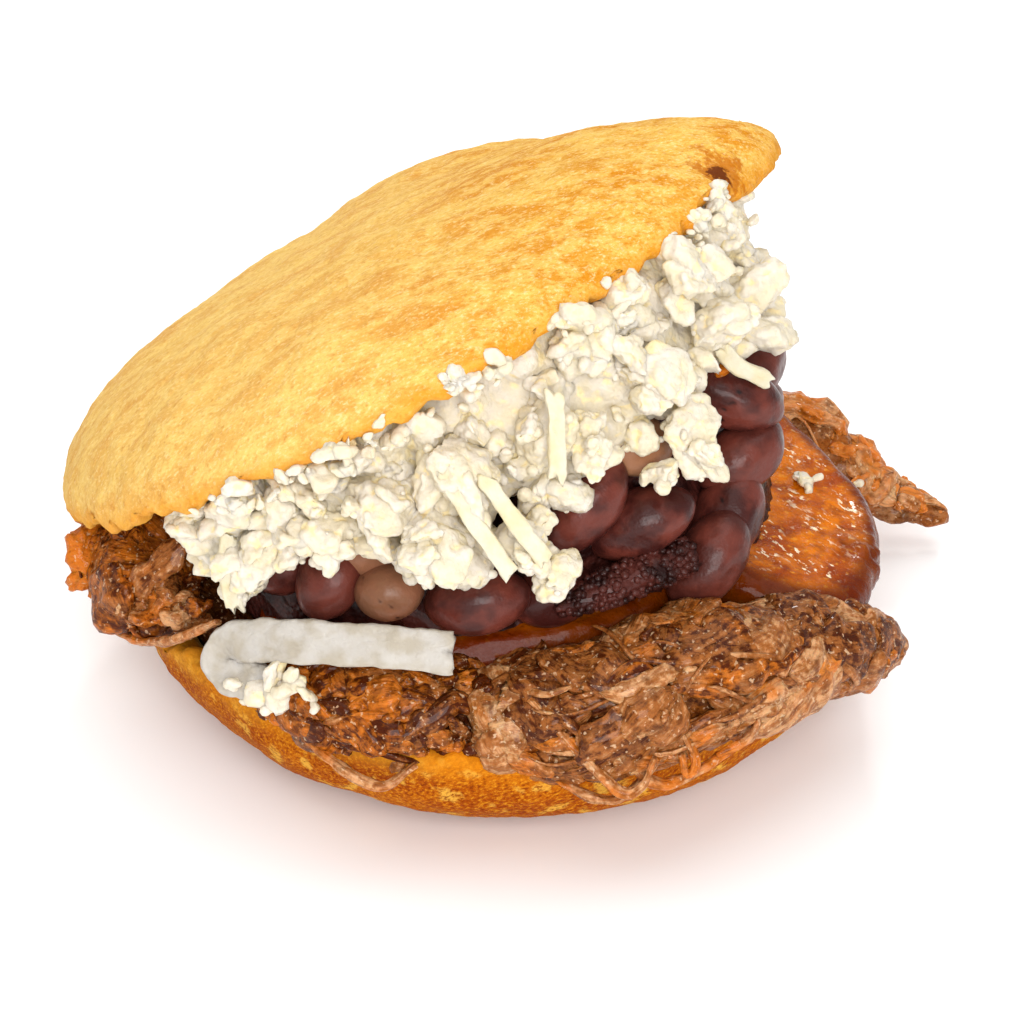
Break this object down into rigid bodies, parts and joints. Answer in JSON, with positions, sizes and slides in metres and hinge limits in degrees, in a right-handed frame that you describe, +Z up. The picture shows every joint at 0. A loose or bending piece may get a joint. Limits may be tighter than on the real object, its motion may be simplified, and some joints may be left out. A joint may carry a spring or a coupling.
{
  "type": "fried arepa",
  "caption": "Round fried corn bread split on a hinge and filled with shredded beef, plantain slices, black beans and crumbled white cheese.",
  "frame": {"origin": "middle of the flat spot under the bottom half, where the bread rests", "axes": "+Z up; the open mouth faces -Y and +X; the hinge is at the back left, towards -X and +Y"},
  "size_m": [0.1142, 0.1015, 0.0723],
  "materials": {
    "fried_corn_bread": "golden fried corn dough, finely grainy and slightly oily",
    "fried_plantain": "caramelised, wet and shiny, darker at the rim",
    "braised_beef": "moist brown meat fibres with an orange oil tint",
    "cooked_beans": "smooth semi-gloss purple-brown skins",
    "white_cheese": "fresh crumbly white cheese, soft and slightly moist"
  },
  "bodies": {
    "root": {"arepa_bread": "fried_corn_bread", "plantain_slice_front": "fried_plantain", "plantain_slice_right": "fried_plantain", "shredded_beef": "braised_beef", "black_beans": "cooked_beans", "cheese_strip": "white_cheese", "grated_cheese": "white_cheese"}
  },
  "joints": []
}
